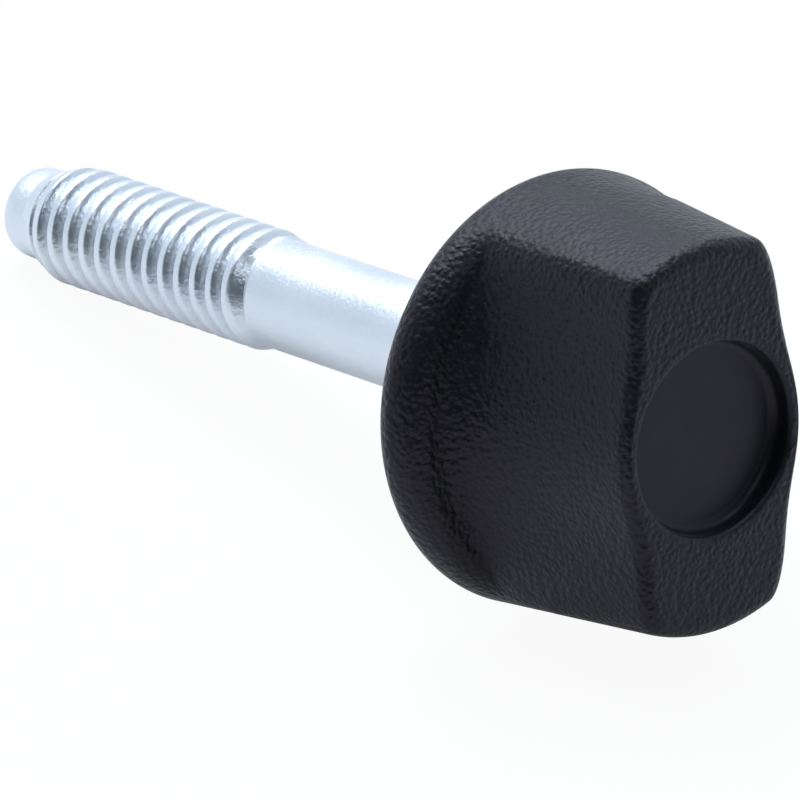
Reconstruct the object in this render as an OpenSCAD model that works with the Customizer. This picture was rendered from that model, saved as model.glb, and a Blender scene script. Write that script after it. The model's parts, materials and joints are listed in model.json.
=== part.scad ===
// Knob screw: a fluted plastic knob moulded round a threaded steel stud.
// It lies on its side as it would come to rest on a flat surface: on the rim of the knob and
// on the first full turn of the thread. The origin is under the middle of it, on that surface.

/* [Knob] */
// Widest diameter of the knob, at the rim of its flange
knob_d = 21.6; // [18:0.1:28]
// Height of the knob from its bearing face to its top face
knob_h = 12.8; // [10:0.1:18]
// Height of the widest circle, and radius of the rounding below it
rim_h = 1.2; // [0.6:0.1:2]
// Height of the flange on the two fluted sides
flange_h = 2.75; // [2.2:0.05:4]
// Radial depth of the rounding on the top edge of the flange
flange_edge = 1.45; // [0.5:0.05:2]
// Draft of the two end walls, in degrees
end_draft = 5; // [0:0.5:8]

/* [Grip] */
// Width of the grip bar across its flutes, at the top face
grip_w = 9.4; // [6:0.1:12]
// Draft of the two walls of the grip bar, in degrees
grip_draft = 6.5; // [0:0.5:12]
// Width of the hub under the recess, where it flares out onto the flange
flare_w = 18.6; // [14:0.1:19]
// Plastic left between the recess and the flutes
swell_wall = 0.25; // [0.2:0.05:1]
// Rounding of the edges of the top face
edge_r = 0.7; // [0.3:0.05:1.2]
// How far the corners between flutes and end walls are blended
corner_blend = 2; // [0.4:0.1:3]
// How far the hub is blended into the walls of the grip bar
swell_blend = 2.9; // [1:0.1:4]

/* [Recess] */
// Diameter of the round recess in the top face
recess_d = 9.6; // [7:0.1:12]
// Depth of that recess
recess_depth = 1.2; // [0.4:0.1:2]

/* [Stud] */
// Length of the stud outside the knob
stud_l = 40; // [25:0.1:60]
// Diameter over the crests of the thread, a quarter inch nominal
thread_d = 6.15; // [5:0.05:8]
// Distance from the tip to the end of the last full turn
thread_end = 19.2; // [12:0.1:24]
// Distance from the tip to the first full turn
thread_start = 4.2; // [2:0.1:6]
// Length of the cone between the last full turn and the shank
run_out = 1.3; // [0.5:0.1:3]
// Diameter of the plain shank, the blank that the thread is rolled on
shank_d = 5.5; // [4:0.05:6]
// Diameter of the plain pilot at the tip
pilot_d = 4.7; // [3:0.05:5]
// Length of the pilot
pilot_l = 2.1; // [0.8:0.1:4]
// Radius of the rounded end of the pilot
tip_r = 1; // [0.2:0.05:1.4]

/* [Anchor] */
// Plastic left between the inner end of the stud and the floor of the recess
anchor_cover = 2.8; // [1:0.1:4]
// Height of the hexagonal head at its inner end
anchor_h = 3; // [2:0.1:4]
// Width of that head across its flats
anchor_af = 7; // [6:0.1:8.5]
// Gap between the stud and the plastic moulded round it
insert_gap = 0; // [0:0.01:0.05]

/* [Rest] */
// How far the grip bar leans from upright as the screw lies, in degrees
roll = 7; // [0:1:45]

/* [Hidden] */
$fn = 96;
eps = 0.01;

// Points round one ring of the knob's skin, and steps along each part of its side
ring_n = 96;
round_steps = 4;
flute_steps = 10;

knob_r = knob_d / 2;
wall_h = knob_h - flange_h;
swell_r = recess_d / 2 + swell_wall;
flare = flare_w / 2 - swell_r;
recess_floor = knob_h - recess_depth;
thread_r = thread_d / 2;
anchor_top = recess_floor - anchor_cover;
anchor_foot = anchor_top - anchor_h;

// The rest pose: a line that touches the rounding under the rim and, out of the first full turn of
// the thread and the rounded end of the pilot, the one that comes down first
function lean_on(radius, depth, rounding) =
    let (reach = rim_h + depth - rounding, rise = knob_r - rim_h - (radius - rounding))
    atan2(rise, reach) + asin((rim_h - rounding) / norm([reach, rise]));
lean = min(lean_on(thread_r, stud_l - thread_start, 0), lean_on(pilot_d / 2, stud_l, tip_r));
axis_lift = (knob_r - rim_h) * cos(lean) + rim_h * (1 - sin(lean));

// Largest and smallest of two values, with a blend k wide where they cross
function soft_max(a, b, k) = max(a, b) + pow(max(k - abs(a - b), 0), 2) / (4 * k);
function soft_min(a, b, k) = -soft_max(-a, -b, k);

// Radius of the end walls, half the width of the grip bar, and radius of the hub, at height z
function end_at(z) = knob_r - (z - rim_h) * tan(end_draft);
function grip_at(z) = grip_w / 2 + (knob_h - z) * tan(grip_draft);
function hub_at(z) = swell_r + flare * (1 - sqrt(1 - pow((knob_h - z) / wall_h, 2)));

// A section of the skin is [height, end wall radius, grip half-width, hub radius, flange radius]
function rim_section(a) =
    let (r = knob_r - rim_h * (1 - sin(a)))
    [rim_h * (1 - cos(a)), r, grip_at(flange_h), flare_w / 2, r];
function flange_section(a) =
    let (z = rim_h + (flange_h - rim_h) * sin(a))
    [z, end_at(z), grip_at(flange_h), flare_w / 2, knob_r - flange_edge * (1 - cos(a))];
function flute_section(a) =
    let (z = knob_h - wall_h * sin(a))
    [z, end_at(z), grip_at(z), hub_at(z), 0];
function edge_section(a) =
    let (z = knob_h - edge_r * (1 - sin(a)), inset = edge_r * (1 - cos(a)))
    [z, end_at(z) - inset, grip_at(z) - inset, hub_at(z) - min(inset, swell_wall / 2), 0];

flute_top = asin(edge_r / wall_h);
sections = [
    for (i = [0:round_steps]) rim_section(90 * i / round_steps),
    for (i = [1:round_steps]) flange_section(90 * i / round_steps),
    for (i = [1:flute_steps]) flute_section(90 - (90 - flute_top) * i / flute_steps),
    for (i = [1:round_steps]) edge_section(90 * i / round_steps)
];

// Radius of the skin in the direction t, measured from the middle of a flute
function grip_radius(s, t) =
    soft_min(s[1], soft_max(s[2] / max(abs(cos(t)), eps), s[3], swell_blend), corner_blend);
function skin_radius(s, t) = min(s[1], soft_max(grip_radius(s, t), s[4], swell_wall));
// One ring of points, turned so that the rim has a flat between two of them where it meets the surface
function ring(s) = [
    for (i = [0:ring_n - 1])
        let (t = 270 + roll + 360 * (i + 0.5) / ring_n, r = skin_radius(s, t))
        [r * cos(t), r * sin(t), s[0]]
];

skin_points = [for (s = sections) each ring(s)];
skin_rings = len(sections);

// Two triangles for each cell between neighbouring rings, wound clockwise as seen from outside
function cell(k, i) =
    let (a = k * ring_n + i, b = k * ring_n + (i + 1) % ring_n)
    [[a, a + ring_n, b + ring_n], [a, b + ring_n, b]];
skin_faces = [
    [for (i = [0:ring_n - 1]) i],
    for (k = [0:skin_rings - 2]) for (i = [0:ring_n - 1]) each cell(k, i),
    [for (i = [ring_n - 1:-1:0]) (skin_rings - 1) * ring_n + i]
];

// Half outline of the stud from its tip up to the shank, as [radius, height]
tip_round = [
    for (i = [0:round_steps])
        let (a = 90 * i / round_steps)
        [pilot_d / 2 - tip_r * (1 - sin(a)), -stud_l + tip_r * (1 - cos(a))]
];
stud_outline = [
    [0, -stud_l],
    each tip_round,
    [pilot_d / 2, -stud_l + pilot_l],
    [thread_r, -stud_l + thread_start],
    [thread_r, -stud_l + thread_end],
    [shank_d / 2, -stud_l + thread_end + run_out],
    [shank_d / 2, anchor_foot],
    [0, anchor_foot]
];

// Where a point [x, y, z] of the upright screw comes to lie along the surface
function along(p) = p.z * cos(lean) - (p.y * cos(roll) - p.x * sin(roll)) * sin(lean);
far_end = max([for (p = skin_points) along(p)]);
tip_end = min([for (p = stud_outline) p.y * cos(lean) - p.x * sin(lean)]);
middle = (far_end + tip_end) / 2;

// Lays the upright screw down into its rest pose
module lay() {
    translate([-middle, 0, axis_lift])
        rotate([0, 90 - lean, 0])
            rotate([0, 0, 90 - roll])
                children();
}

// The hexagonal head and the shank below it, grown by gap on every side
module stud_insert(gap) {
    translate([0, 0, -eps])
        cylinder(r = shank_d / 2 + gap, h = anchor_foot + 2 * eps);
    translate([0, 0, anchor_foot - gap])
        rotate([0, 0, 30])
            cylinder(d = (anchor_af + 2 * gap) / cos(30), h = anchor_h + 2 * gap, $fn = 6);
}

module knob() {
    color("#1c1d20")
        lay()
            difference() {
                polyhedron(points = skin_points, faces = skin_faces, convexity = 6);
                translate([0, 0, recess_floor])
                    cylinder(d = recess_d, h = recess_depth + 1);
                stud_insert(insert_gap);
            }
}

module stud() {
    color("#d5dce4")
        lay() {
            rotate_extrude()
                polygon(stud_outline);
            translate([0, 0, anchor_foot])
                rotate([0, 0, 30])
                    cylinder(d = anchor_af / cos(30), h = anchor_h, $fn = 6);
        }
}

knob();
stud();
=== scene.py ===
# %% [markdown]
# # A knob screw, from its CAD frame to a finished model
# The object is a hand screw: a fluted black knob moulded round the end of a bright zinc-plated stud.
# It lies on its side on a white table. The CAD model gives its size and place; here both pieces are
# made again with the detail that the CAD model leaves out, which is the thread, the softened edges
# and the grain of the mould.

# %% Load the frame
import json
from math import asin, atan2, cos, hypot, pi, radians, sin, sqrt, tan

import bmesh
import bpy
from mathutils import Matrix, Vector


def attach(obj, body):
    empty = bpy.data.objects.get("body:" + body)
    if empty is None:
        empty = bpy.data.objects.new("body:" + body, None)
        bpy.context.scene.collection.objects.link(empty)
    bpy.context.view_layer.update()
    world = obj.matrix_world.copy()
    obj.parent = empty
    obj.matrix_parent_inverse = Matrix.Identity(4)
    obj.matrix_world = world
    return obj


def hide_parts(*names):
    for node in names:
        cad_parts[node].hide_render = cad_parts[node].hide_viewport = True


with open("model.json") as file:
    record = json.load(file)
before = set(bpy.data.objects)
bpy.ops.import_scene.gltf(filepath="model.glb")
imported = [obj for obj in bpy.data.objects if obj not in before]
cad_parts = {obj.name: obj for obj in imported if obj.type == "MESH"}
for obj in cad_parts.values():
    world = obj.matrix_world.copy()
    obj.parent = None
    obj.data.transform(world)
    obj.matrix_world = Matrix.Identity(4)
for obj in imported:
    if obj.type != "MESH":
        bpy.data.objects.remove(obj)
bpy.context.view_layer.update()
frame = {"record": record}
record = frame["record"]

# %% [markdown]
# ## The screw's own axes
# A turned part is easiest to model standing upright, with its axis along Z and its centre at X = Y = 0.
# The finished one lies at a slant, so one matrix takes it from the upright place to the place where it
# lies. It could be typed in as three angles. It is read from the two mounts of the CAD record instead,
# so a new CAD pose carries over by itself: the thread's mount gives the direction of the axis, and the
# bearing face's mount gives the height along it and which way the grip bar points.

# %% Upright axes and where they lie
MM = 0.001
mounts = {m["name"]: m for m in record["mounts"]}
axis = -Vector(mounts["thread"]["axis"]).normalized()
on_axis = Vector(mounts["thread"]["pos_m"])
on_face = Vector(mounts["bearing_face"]["pos_m"])
face_centre = on_axis + axis * (on_face - on_axis).dot(axis)
bar_way = (on_face - face_centre).normalized()
flute_way = bar_way.cross(axis)
turn = Matrix((flute_way, bar_way, axis)).transposed()
LAY = Matrix.Translation(face_centre) @ turn.to_4x4()
print("the axis rises by", round(90 - axis.angle(Vector((0, 0, 1))) * 180 / pi, 2), "degrees")

# %% [markdown]
# ## The camera
# A long lens a little over half a metre away looks at the knob's top face and one of its flutes, with
# the stud pointing away to the left. So far off, the near end looks hardly bigger than the far end,
# which is how small parts are pictured. A wide lens close by would make the knob swell.

# %% Camera
AZIMUTH, ELEVATION = radians(49.21), radians(32.16)
LENS, DISTANCE = 540, 581.3 * MM
RIM_H = 1.2
LEFT_OF_KNOB, BELOW_KNOB = 7.636, 0.638
back = Vector((sin(AZIMUTH) * cos(ELEVATION), -cos(AZIMUTH) * cos(ELEVATION), sin(ELEVATION)))
right = Vector((cos(AZIMUTH), sin(AZIMUTH), 0))
up = back.cross(right)
aim = LAY @ Vector((0, 0, RIM_H * MM)) - (LEFT_OF_KNOB * right + BELOW_KNOB * up) * MM

camera_data = bpy.data.cameras.new("camera")
camera_data.lens = LENS
camera_data.clip_start, camera_data.clip_end = 0.01, 10
camera = bpy.data.objects.new("camera", camera_data)
facing = Matrix((right, up, back)).transposed().to_4x4()
camera.matrix_world = Matrix.Translation(aim + back * DISTANCE) @ facing
bpy.context.scene.collection.objects.link(camera)
bpy.context.scene.camera = camera
print("camera at", [round(c, 3) for c in camera.location])

# %% [markdown]
# ## From a mesh to a piece
# Both pieces are drawn in millimetres round an upright axis. When one is done, doubles are merged, its
# faces are turned outwards, its sharp edges are marked so that smooth shading stops at them, and the
# mesh itself is laid down. The object stays at the origin, unturned, like the CAD pieces. Two points
# closer together than a ten-thousandth of a millimetre count as one.

# %% Finishing a piece
SHARP = radians(32)
TINY = 1e-4


def finish_piece(bm, name, stands_for):
    """Makes an upright bmesh in millimetres the finished piece called name."""
    bmesh.ops.remove_doubles(bm, verts=bm.verts, dist=TINY)
    bmesh.ops.dissolve_degenerate(bm, edges=bm.edges, dist=TINY / 10)
    bmesh.ops.recalc_face_normals(bm, faces=bm.faces)
    open_edges = sum(not e.is_manifold for e in bm.edges)
    for face in bm.faces:
        face.smooth = True
    for edge in bm.edges:
        edge.smooth = edge.calc_face_angle(0) < SHARP
    volume = bm.calc_volume()
    bmesh.ops.transform(bm, matrix=LAY @ Matrix.Scale(MM, 4), verts=bm.verts)
    mesh = bpy.data.meshes.new(name)
    bm.to_mesh(mesh)
    bm.free()
    piece = bpy.data.objects.new(name, mesh)
    bpy.context.scene.collection.objects.link(piece)
    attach(piece, "root")
    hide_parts(stands_for)
    triangles = sum(len(p.vertices) - 2 for p in mesh.polygons)
    print(f"{name}: {triangles} triangles, {volume:.0f} mm3, {open_edges} open edges")
    return piece


def chain(bm, points):
    """A line of vertices through points (radius, height), ready to be spun round the Z axis."""
    verts = [bm.verts.new((r, 0, z)) for r, z in points]
    return verts + [bm.edges.new(pair) for pair in zip(verts, verts[1:])]


def steps(n):
    """n equal steps from just over 0 up to 1."""
    return [(i + 1) / n for i in range(n)]


# %% [markdown]
# ## The knob's skin as a formula
# The knob is one moulding. At the bottom it is a round flange, and above it stands a grip bar with
# steep sides. A round hub under the recess bulges out of both sides of the bar, and flares out at its
# foot until it meets the flange, so the fingers rest in a hollow on each side. It could be cut out
# with booleans and bevelled, but the moulder's soft blends between bar, hub and flange would then
# have to be forced. Here the skin is a lathe shape whose radius is a formula of height and angle: the
# smallest and largest of a few plain surfaces, with a blend where two of them cross. The sizes are
# those of the CAD source, in millimetres. One is added, because the real knob isn't quite even: the
# two corners on the side away from the camera are rounder than the two that face it.

# %% Knob sizes
KNOB_R, KNOB_H = 10.8, 12.8
FLANGE_H, FLANGE_EDGE = 2.75, 1.45
END_DRAFT, GRIP_DRAFT = radians(5), radians(6.5)
GRIP_W, FLARE_W = 9.4, 18.6
EDGE_R = 0.7
RECESS_R, RECESS_DEPTH = 4.8, 1.2
SWELL_R, SWELL_WALL = 5.05, 0.25
CORNER_BLEND, FAR_CORNER_BLEND = 2.0, 3.6
SWELL_BLEND = 2.9
WALL_H = KNOB_H - FLANGE_H
EDGE_FOOT = KNOB_H - EDGE_R


def soft_max(a, b, k):
    """The larger of a and b, with a blend k wide where they cross."""
    return max(a, b) + max(k - abs(a - b), 0) ** 2 / (4 * k)


def soft_min(a, b, k):
    return -soft_max(-a, -b, k)


def end_wall(z):
    """Radius of the two end walls at height z, with the roundings of the rim and the top edge."""
    if z < RIM_H:
        return KNOB_R - RIM_H + sqrt(max(RIM_H**2 - (RIM_H - z) ** 2, 0))
    return KNOB_R - (z - RIM_H) * tan(END_DRAFT) - top_inset(z)


def top_inset(z):
    """How far the rounding of the top edge draws the skin in at height z."""
    over = max(z - EDGE_FOOT, 0)
    return EDGE_R - sqrt(max(EDGE_R**2 - over**2, 0))


def grip_wall(z):
    """Half the width of the grip bar at height z."""
    return GRIP_W / 2 + (KNOB_H - max(z, FLANGE_H)) * tan(GRIP_DRAFT) - top_inset(z)


def hub_wall(z):
    """Radius of the hub under the recess at height z: upright at the top, flaring out to the flange."""
    hollow = 1 - sqrt(1 - ((KNOB_H - max(z, FLANGE_H)) / WALL_H) ** 2)
    return SWELL_R + (FLARE_W / 2 - SWELL_R) * hollow - min(top_inset(z), SWELL_WALL / 2)


def flange_wall(z):
    """Radius of the flange at height z, or 0 above it."""
    if z < RIM_H:
        return end_wall(z)
    if z > FLANGE_H:
        return 0
    rise = (z - RIM_H) / (FLANGE_H - RIM_H)
    return KNOB_R - FLANGE_EDGE * (1 - sqrt(1 - rise**2))


def skin(z, t):
    """Radius of the knob's skin at height z, in the direction t from the middle of a flute."""
    across = grip_wall(z) / max(abs(cos(t)), TINY)
    blend = FAR_CORNER_BLEND if cos(t) > 0 else CORNER_BLEND
    grip = soft_min(end_wall(z), soft_max(across, hub_wall(z), SWELL_BLEND), blend)
    return min(end_wall(z), soft_max(grip, flange_wall(z), SWELL_WALL))


print("skin over a flute", [round(skin(z, 0), 2) for z in (0, 1.2, 2.75, 5, 9, 12.8)])

# %% [markdown]
# ## Spinning the knob
# The knob's outline runs from the inner end of the pocket that grips the stud, down the bore, out
# along the bearing face, up the skin, in over the top face and down into the recess. It is spun all
# the way round, and then each vertex outside the recess moves in to the radius that the formula
# gives. The pocket's vertices move the same way to a hexagon, the head that stops the stud turning.
# The formula leaves a crease where the bar and the hub stand on the flange, and a mould cutter can't
# leave one there. A Smooth operator eases those vertices a few times, like the sculpting brush.


# %% Helpers for round shapes
def quarter(n):
    """n angles from just over 0 up to a right angle."""
    return [s * pi / 2 for s in steps(n)]


def hexagon(t):
    """Radius in the direction t of a hexagon whose flats touch a circle of radius 1."""
    return 1 / cos((t + pi / 6) % (pi / 3) - pi / 6)


print("corners of a hexagon of flats 1 are at", round(hexagon(pi / 6), 3))

# %% Knob outline
SHANK_R = 2.75
ANCHOR_TOP, ANCHOR_H, ANCHOR_R = 8.8, 3.0, 3.5
LIP, FOOT = 0.3, 0.5
RECESS_FLOOR = KNOB_H - RECESS_DEPTH
ROUND = 384
anchor_foot = ANCHOR_TOP - ANCHOR_H
outline = [(0, ANCHOR_TOP)]
outline += [(ANCHOR_R * s, ANCHOR_TOP) for s in steps(3)]
outline += [(ANCHOR_R, ANCHOR_TOP - ANCHOR_H * s) for s in steps(4)]
outline += [(ANCHOR_R + (SHANK_R - ANCHOR_R) * s, anchor_foot) for s in steps(2)]
outline += [(SHANK_R, anchor_foot * (1 - s)) for s in steps(8)]
outline += [(SHANK_R + (KNOB_R - RIM_H - SHANK_R) * s, 0) for s in steps(10)]
rises = [RIM_H * (1 - cos(a)) for a in quarter(12)]
rises += [RIM_H + (FLANGE_H - RIM_H) * sin(a) for a in quarter(12)]
rises += [FLANGE_H + TINY * 10]
hub_end = pi / 2 - asin(EDGE_R / WALL_H)
rises += [KNOB_H - WALL_H * cos(hub_end * s) for s in steps(56)]
rises += [EDGE_FOOT + EDGE_R * sin(a) for a in quarter(12)]
outline += [(end_wall(z), z) for z in rises]
lip_r = RECESS_R + LIP
outline += [(end_wall(KNOB_H) + (lip_r - end_wall(KNOB_H)) * s, KNOB_H) for s in steps(12)]
outline += [(lip_r - LIP * sin(a), KNOB_H - LIP * (1 - cos(a))) for a in quarter(5)]
wall_foot = RECESS_FLOOR + FOOT
outline += [(RECESS_R, KNOB_H - LIP + (wall_foot - KNOB_H + LIP) * s) for s in steps(4)]
outline += [(RECESS_R - FOOT * (1 - cos(a)), wall_foot - FOOT * sin(a)) for a in quarter(6)]
outline += [((RECESS_R - FOOT) * (1 - s), RECESS_FLOOR) for s in steps(10)]
print(len(outline), "points in the knob's outline")

# %% Knob body
bm = bmesh.new()
bmesh.ops.spin(
    bm, geom=chain(bm, outline), cent=(0, 0, 0), axis=(0, 0, 1), angle=2 * pi, steps=ROUND, use_merge=True
)
bmesh.ops.remove_doubles(bm, verts=bm.verts, dist=TINY)

for v in bm.verts:
    x, y, z = v.co
    r, t = hypot(x, y), atan2(y, x)
    if r > lip_r + TINY:
        new_r = lip_r + (r - lip_r) * (skin(z, t) - lip_r) / (end_wall(z) - lip_r)
    elif anchor_foot - TINY < z < ANCHOR_TOP + TINY and r > SHANK_R + TINY:
        new_r = r * hexagon(t)
    else:
        continue
    v.co = Vector((x * new_r / r, y * new_r / r, z))
print(len(bm.faces), "faces round the knob")

# %% Easing the foot of the bar
FOOT_LOW, FOOT_HIGH, FOOT_INNER = 1.6, 5.5, lip_r + 1
EASE_PASSES = 16
bar_foot = [v for v in bm.verts if FOOT_LOW < v.co.z < FOOT_HIGH and hypot(*v.co.xy) > FOOT_INNER]
all_ways = {"use_axis_x": True, "use_axis_y": True, "use_axis_z": True}
for _ in range(EASE_PASSES):
    bmesh.ops.smooth_vert(bm, verts=bar_foot, factor=0.5, **all_ways)
print(len(bar_foot), "vertices eased", EASE_PASSES, "times")

# %% [markdown]
# ## Where the grain is
# The mould is etched, so the skin comes out with a fine pebble grain, but the plug that forms the
# recess is smooth. A value on each vertex says which is which: 1 on the skin and 0 in the recess. The
# material reads it and fades the grain out. Painting weights by hand would do the same.

# %% Grain mask
grain_layer = bm.verts.layers.float.new("grain")
for v in bm.verts:
    r = hypot(v.co.x, v.co.y)
    on_skin = min(max((r - RECESS_R) / LIP, 0), 1)
    v[grain_layer] = on_skin if v.co.z > TINY else 0

knob = finish_piece(bm, "knob_moulding", "knob")

# %% [markdown]
# ## The thread
# A quarter inch thread has 20 turns to the inch, 1.27 mm from one turn to the next, and flanks at 60
# degrees to each other. On a rolled thread the dies press the roots in and the metal swells up into
# the crests, so the plain shank behind it is thinner than the crests. It could be drawn as rings, but
# a real thread climbs. So the outline of one pitch is swept round in a spin that also moves along the
# axis, and each turn's last edge meets the first edge of the next turn. The sweep starts and ends
# too far out on purpose, and is cut off flat at both ends. Rolling dies fade out at the end of the
# thread, so the last groove is a wide one with a slope facing the knob.

# %% Stud sizes
STUD_L = 40.0
PITCH = 1.27
THREAD_R, ROOT_R, PILOT_R = 3.07, 2.45, 2.35
PILOT_L, TIP_R = 2.1, 1.0
THREAD_START, THREAD_END, RUN_OUT = 4.2, 19.2, 1.3
FIRST_ROOT = 3.25
CREST_W, FORM_BLEND, HALF_ANGLE = 0.52, 0.25, radians(30)
TURN_STEPS, FORM_STEPS = 120, 26
CAMERA_SIDE = atan2((turn.transposed() @ back).y, (turn.transposed() @ back).x)


def ramp(x, low, high):
    """0 below low, 1 above high, and smooth between."""
    s = min(max((x - low) / (high - low), 0), 1)
    return s * s * (3 - 2 * s)


print("the thread's angle is counted from", round(CAMERA_SIDE * 180 / pi, 1), "degrees")

# %% The last groove
LAST_CREST, LAST_W, LAST_SIDE = 12.5, 1.25, 0.35
SLOPE_DOWN, SLOPE_UP = 1.1, 1.6
TOP_BLEND, LOW_BLEND, FADE = 0.2, 0.1, (0.1, 0.8)


def last_groove(past):
    """Radius in the wide last groove, past its crest: a slope down, then one up to the shank."""
    if past >= LAST_W:
        return SHANK_R
    down = soft_min(THREAD_R, THREAD_R - (past - CREST_W / 2) * SLOPE_DOWN, TOP_BLEND)
    return soft_max(max(down, ROOT_R), SHANK_R - (LAST_W - past) * SLOPE_UP, LOW_BLEND)


def thread_form(d, t):
    """Radius of a thread that has a last groove but no start, at distance d from the tip."""
    around = (t - CAMERA_SIDE + pi) % (2 * pi) - pi
    turns = (d - FIRST_ROOT) / PITCH - around / (2 * pi)
    from_crest = abs((turns % 1) - 0.5) * PITCH
    flank = THREAD_R - (from_crest - CREST_W / 2) / tan(HALF_ANGLE)
    form = soft_max(ROOT_R, soft_min(THREAD_R, flank, FORM_BLEND), FORM_BLEND)
    past = (turns - LAST_CREST) * PITCH
    if past < 0:
        return form
    return form + (last_groove(past) - form) * ramp(cos(around - LAST_SIDE), *FADE)


crest_to_root = [thread_form(FIRST_ROOT + PITCH * s / 4, CAMERA_SIDE) for s in (2, 1, 0)]
print("thread from crest to root", [round(r, 2) for r in crest_to_root])

# %% [markdown]
# ## Where the thread starts and stops
# The rod is turned before the thread is rolled. It has a pilot, the short plain end that finds the
# hole, and a cone that leads in to the thread. Past the thread another cone runs down from the crests
# to the shank. So the radius at any place is that of the cones or the thread, whichever is lower, but
# never less than a floor, which is as wide as the pilot and rises to the shank's radius at the end.

# %% The whole stud
CONE_START, CONE_L, FLOOR_START = THREAD_END + 0.1, RUN_OUT - 0.5, THREAD_END + 0.7
SHOULDER_BLEND = 0.06


def cone(d, start, length, from_r, to_r):
    """Radius at distance d of a cone from one radius to another, and of the cylinders it joins."""
    return from_r + (to_r - from_r) * min(max((d - start) / length, 0), 1)


def stud_radius(d, t):
    """Radius of the stud at distance d from the tip: the thread between its lead-in and its run-out."""
    lead = cone(d, PILOT_L, THREAD_START - PILOT_L, PILOT_R, THREAD_R)
    outer = min(lead, cone(d, CONE_START, CONE_L, THREAD_R, SHANK_R))
    floor = PILOT_R + (SHANK_R - PILOT_R) * ramp(d, FLOOR_START, THREAD_END + RUN_OUT)
    if outer <= floor:
        return floor
    return max(floor, soft_min(outer, max(thread_form(d, t), floor), SHOULDER_BLEND))


print("pilot and shank", [round(stud_radius(d, 0), 2) for d in (TIP_R, THREAD_END + RUN_OUT)])

# %% Thread sweep
START, END = TIP_R + 0.3, THREAD_END + RUN_OUT + 0.4
EARLY_TURNS, SPARE_TURNS = 1.5, 4
turns = int((END - START) / PITCH) + SPARE_TURNS
bm = bmesh.new()
form = [(THREAD_R, START + PITCH * (i / FORM_STEPS - EARLY_TURNS)) for i in range(FORM_STEPS + 1)]
climb = (0, 0, PITCH / TURN_STEPS)
bmesh.ops.spin(
    bm, geom=chain(bm, form), cent=(0, 0, 0), axis=(0, 0, 1), dvec=climb, angle=2 * pi, steps=TURN_STEPS
)
one_turn = bm.verts[:] + bm.edges[:] + bm.faces[:]
for n in range(1, turns):
    copied = bmesh.ops.duplicate(bm, geom=one_turn)["geom"]
    copied = [g for g in copied if isinstance(g, bmesh.types.BMVert)]
    bmesh.ops.translate(bm, vec=(0, 0, n * PITCH), verts=copied)
bmesh.ops.remove_doubles(bm, verts=bm.verts, dist=TINY)
for v in bm.verts:
    t = atan2(v.co.y, v.co.x)
    r = stud_radius(v.co.z, t)
    v.co.x, v.co.y = r * cos(t), r * sin(t)
for height, way in ((START, -1), (END, 1)):
    everything = bm.verts[:] + bm.edges[:] + bm.faces[:]
    bmesh.ops.bisect_plane(
        bm, geom=everything, dist=TINY / 10, plane_co=(0, 0, height), plane_no=(0, 0, way), clear_outer=True
    )
print(turns, "turns swept,", len(bm.faces), "faces left between the cuts")

# %% [markdown]
# ## Pilot, shank and anchor
# The two cut ends are rings of edges. Each is extruded on: at the tip along the pilot and round its
# rounded end to a flat, and at the other end along the shank into the knob and out to the hexagonal
# head. Extruding the ring that is there keeps the whole stud one closed skin.


# %% Growing the ends
def grow(bm, ring, radius, height):
    """Extrudes a ring of edges to a new radius, a number or a formula of the angle, and height."""
    made = bmesh.ops.extrude_edge_only(bm, edges=ring)["geom"]
    for v in (g for g in made if isinstance(g, bmesh.types.BMVert)):
        t = atan2(v.co.y, v.co.x)
        r = radius(t) if callable(radius) else radius
        v.co = Vector((r * cos(t), r * sin(t), height))
    return [g for g in made if isinstance(g, bmesh.types.BMEdge) and g.is_boundary]


def open_ring(bm, height):
    """The open edges at that height."""
    level = [e for e in bm.edges if all(abs(v.co.z - height) < TINY * 10 for v in e.verts)]
    return [e for e in level if e.is_boundary]


def head(t):
    """Radius of the hexagonal head in the direction t."""
    return ANCHOR_R * hexagon(t)


print("edges left open at the two cuts:", len(open_ring(bm, START)), len(open_ring(bm, END)))

# %% Tip, shank and head
MIDDLE_R = 1.0
ring = open_ring(bm, START)
for a in quarter(8):
    ring = grow(bm, ring, PILOT_R - TIP_R * (1 - cos(a)), TIP_R * (1 - sin(a)))
for s in (0.6, 0.2):
    ring = grow(bm, ring, (PILOT_R - TIP_R) * s, 0)
bmesh.ops.contextual_create(bm, geom=ring)

ring = open_ring(bm, END)
for s in steps(24):
    ring = grow(bm, ring, SHANK_R, END + (STUD_L + anchor_foot - END) * s)
ring = grow(bm, ring, head, STUD_L + anchor_foot)
ring = grow(bm, ring, head, STUD_L + ANCHOR_TOP)
ring = grow(bm, ring, MIDDLE_R, STUD_L + ANCHOR_TOP)
bmesh.ops.contextual_create(bm, geom=ring)
bmesh.ops.translate(bm, vec=(0, 0, -STUD_L), verts=bm.verts)
stud = finish_piece(bm, "stud_with_thread", "stud")

# %% [markdown]
# ## Shader maths as Python
# A procedural finish is a sum of small steps, and a graph of Math nodes soon gets hard to read. The
# class Value stands for one value in the graph, so that a + b or 1 - mask adds the Math node for it.
# Every other node, in a material or in the world, comes from one method: type, settings and inputs.


# %% A value
class Value:
    """One output of a shader node. Python's operators on it add Math nodes."""

    def __init__(self, graph, socket):
        self.graph, self.socket = graph, socket

    def math(self, operation, other):
        return self.graph.node("Math", {"operation": operation}, ordered=(self, other))

    def __add__(self, other):
        return self.math("ADD", other)

    def __mul__(self, other):
        return self.math("MULTIPLY", other)

    def __sub__(self, other):
        return self.math("SUBTRACT", other)

    def __rsub__(self, other):
        return (self * -1) + other

    __radd__, __rmul__ = __add__, __mul__


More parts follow.
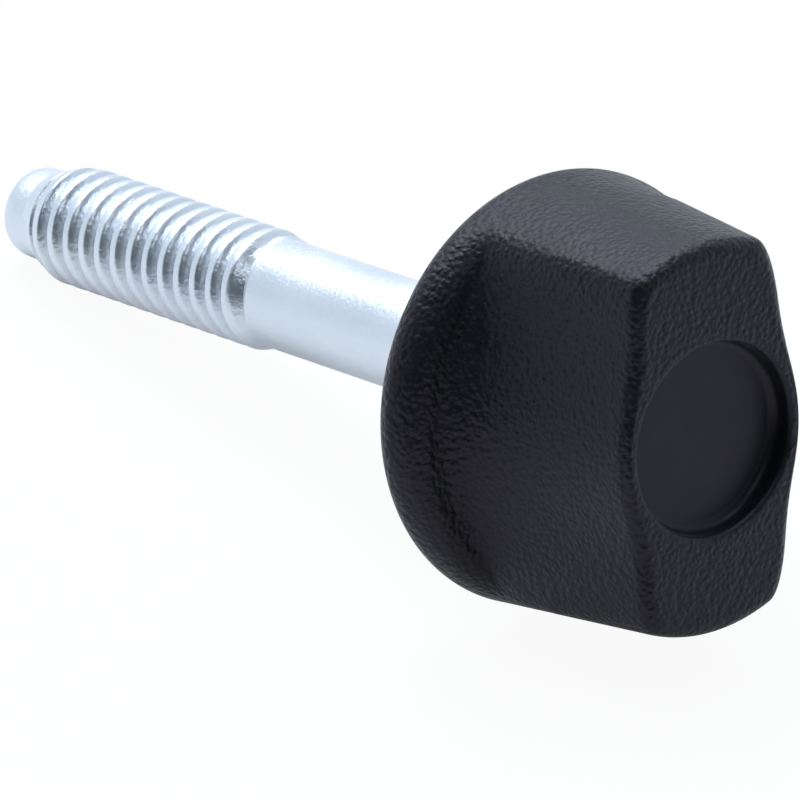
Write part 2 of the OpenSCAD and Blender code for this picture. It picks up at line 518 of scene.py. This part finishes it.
# %% A graph and a finish
class Graph:
    """The nodes of a material or a world."""

    def __init__(self, owner):
        owner.use_nodes = True
        self.nodes, self.links = owner.node_tree.nodes, owner.node_tree.links

    def plug(self, socket, value):
        if isinstance(value, Value):
            self.links.new(value.socket, socket)
        else:
            socket.default_value = value

    def node(self, kind, settings=None, output=0, ordered=(), **inputs):
        """A node of that type: its settings first, then its inputs, in order or by their names.

        A colour ramp has two settings of its own: its two stops, and how one fades to the other.
        """
        node = self.nodes.new("ShaderNode" + kind)
        for name, value in (settings or {}).items():
            if name == "stops":
                for stop, (place, colour) in zip(node.color_ramp.elements, value):
                    stop.position, stop.color = place, (*colour, 1)
            elif name == "fade":
                node.color_ramp.interpolation = value
            else:
                setattr(node, name, value)
        for socket, value in zip(node.inputs, ordered):
            self.plug(socket, value)
        for name, value in inputs.items():
            self.plug(node.inputs[name.replace("_", " ")], value)
        return Value(self, node.outputs[output])


class Finish(Graph):
    """A new material, ready for nodes."""

    def __init__(self, name, **constants):
        self.made = bpy.data.materials.new(name)
        super().__init__(self.made)
        self.surface = self.nodes["Principled BSDF"]
        self.paint(**constants)

    def paint(self, **inputs):
        """Plugs values into the surface shader's sockets, by their names."""
        for name, value in inputs.items():
            self.plug(self.surface.inputs[name.replace("_", " ")], value)

    def upright(self):
        """Object coordinates turned back to the upright screw, still in metres."""
        place = self.node("TexCoord", output="Object")
        turned = {"Location": LAY.translation, "Rotation": turn.to_euler()}
        return self.node("Mapping", {"vector_type": "TEXTURE"}, Vector=place, **turned)


# %% [markdown]
# ## Black moulded plastic
# The plastic is dyed right through, so its colour hardly changes. What the eye reads is the grain:
# soft pebbles about 0.3 mm across, each catching a small glint, with finer tooth between them. Here
# a smooth cell pattern and a noise give a height that a Bump node turns into shading. Modelling the
# pebbles would take millions of faces for the same look at this size.

# %% Knob plastic
plastic = Finish(
    "black_grained_plastic",
    Specular_IOR_Level=0.32,
    Specular_Tint=(0.92, 0.84, 1, 1),
    Sheen_Weight=0.2,
    Sheen_Roughness=0.3,
    Sheen_Tint=(0.9, 0.93, 1, 1),
)
where = plastic.upright()
mask = plastic.node("Attribute", {"attribute_name": "grain"}, output="Fac")
pebbles = plastic.node(
    "TexVoronoi", {"feature": "SMOOTH_F1"}, output="Distance", Vector=where, Scale=3300.0, Smoothness=0.6
)
tooth = plastic.node("TexNoise", Vector=where, Scale=5200.0, Detail=2.0)
waves = plastic.node("TexNoise", Vector=where, Scale=420.0, Detail=2.0)
relief = mask * (tooth * 0.6 - pebbles)
blacks = [(0.3, (0.006, 0.006, 0.0075)), (0.75, (0.01, 0.0095, 0.0125))]
plastic.paint(
    Base_Color=plastic.node("ValToRGB", {"stops": blacks}, Fac=waves),
    Roughness=0.4 + mask * (waves - 0.5) * 0.2,
    Normal=plastic.node("Bump", Height=relief, Strength=1.0, Distance=0.00007),
)
knob.data.materials.append(plastic.made)
print(plastic.made.name, "has", len(plastic.nodes), "nodes")

# %% [markdown]
# ## Bright zinc
# Zinc plating is a bluish white metal with a satin skin. It has no colour of its own to speak of: it
# shows the white room, and the thread's flanks show the dark side where the viewer stands. So the
# finish is a metal with a pale base colour, a roughness that wanders a little, and fine specks, the
# crystals of the plating and the marks of the die, a quarter of a millimetre across and less.

# %% Stud zinc
zinc = Finish("bright_zinc", Metallic=1.0)
where = zinc.upright()
cloud = zinc.node("TexNoise", Vector=where, Scale=260.0, Detail=3.0)
speck = zinc.node("TexNoise", Vector=where, Scale=4200.0, Detail=2.0)
silvers = [(0.3, (0.76, 0.81, 0.88)), (0.7, (0.84, 0.88, 0.94))]
zinc.paint(
    Base_Color=zinc.node("ValToRGB", {"stops": silvers}, Fac=cloud),
    Roughness=0.3 + cloud * 0.14,
    Normal=zinc.node("Bump", Height=speck, Strength=1.0, Distance=0.000028),
)
stud.data.materials.append(zinc.made)
print(zinc.made.name, "has", len(zinc.nodes), "nodes")

# %% [markdown]
# ## The table
# The table is a plain white sheet, wide enough that its edge is never seen. It isn't part of the
# object. To the camera it is mostly a light of its own, so that it stays white where no lamp reaches,
# and the screw's soft shadow still shows on it. In reflections it is a little so.

# %% Table
TABLE_HALF = 1.5
bm = bmesh.new()
bmesh.ops.create_grid(bm, x_segments=1, y_segments=1, size=TABLE_HALF)
mesh = bpy.data.meshes.new("table_top")
bm.to_mesh(mesh)
bm.free()
table_top = bpy.data.objects.new("table_top", mesh)
bpy.context.scene.collection.objects.link(table_top)
print("the table is", 2 * TABLE_HALF, "m wide")

# %% Table finish
SHEET, GLOW = 0.66, 1.02
SEEN_GLOW, MIRRORED_GLOW = 0.92, 0.2
white = Finish("white_table", Base_Color=(SHEET, SHEET, SHEET, 1), Roughness=0.9)
seen = white.node("LightPath", output="Is Camera Ray") * SEEN_GLOW
mirrored = white.node("LightPath", output="Is Glossy Ray") * MIRRORED_GLOW
lit = Value(white, white.surface.outputs[0])
glow = white.node("Emission", Color=(1, 1, 1, 1), Strength=GLOW)
mix = white.node("MixShader", ordered=(seen + mirrored, lit, glow))
white.plug(white.nodes["Material Output"].inputs["Surface"], mix)
table_top.data.materials.append(white.made)
print(white.made.name, "has", len(white.nodes), "nodes")

# %% [markdown]
# ## A white room with a dark side
# Small shiny parts are pictured in a white tent, and the tent has an opening for the camera. Its
# white sides give metal something bright to show, and the dark opening draws the dark lines that
# make a thread readable. Lamps alone would leave black gaps between their reflections. So the world
# is white, and fades to dark round one direction, which is fixed in the room and doesn't follow the
# camera. One wide soft lamp overhead makes the upper sides the brightest, and a small weak one in
# front draws the fine glints in the grain and on the thread. Both are a little cool, like daylight.

# %% Room
WHITE_SIDE, DARK_SIDE, ROOM_LIGHT = (0.8, 0.9, 1), (0.03, 0.045, 0.06), 0.85
world = bpy.data.worlds.new("white_room")
bpy.context.scene.world = world
room = Graph(world)
direction = room.node("TexCoord", output="Generated")
product = {"operation": "DOT_PRODUCT"}
towards_dark = room.node("VectorMath", product, output="Value", ordered=(direction, back))
sides = {"stops": [(0.3, WHITE_SIDE), (0.75, DARK_SIDE)], "fade": "EASE"}
room.plug(room.nodes["Background"].inputs["Color"], room.node("ValToRGB", sides, Fac=towards_dark))
room.plug(room.nodes["Background"].inputs["Strength"], ROOM_LIGHT)
print("the room has", len(room.nodes), "nodes")

# %% Lamps
COOL = (0.86, 0.93, 1)


def softbox(name, place, size, power):
    """A square area lamp at place, aimed at the screw."""
    data = bpy.data.lights.new(name, "AREA")
    data.size, data.energy, data.color = size, power, COOL
    lamp = bpy.data.objects.new(name, data)
    place = Vector(place)
    lamp.matrix_world = Matrix.Translation(place) @ place.to_track_quat("Z", "Y").to_matrix().to_4x4()
    bpy.context.scene.collection.objects.link(lamp)
    return lamp


softbox("overhead", (-0.27, 0.1, 0.55), 0.6, 4.5)
softbox("front", (0.29, -0.18, 0.49), 0.15, 0.25)
bpy.context.scene.view_settings.view_transform = "Standard"
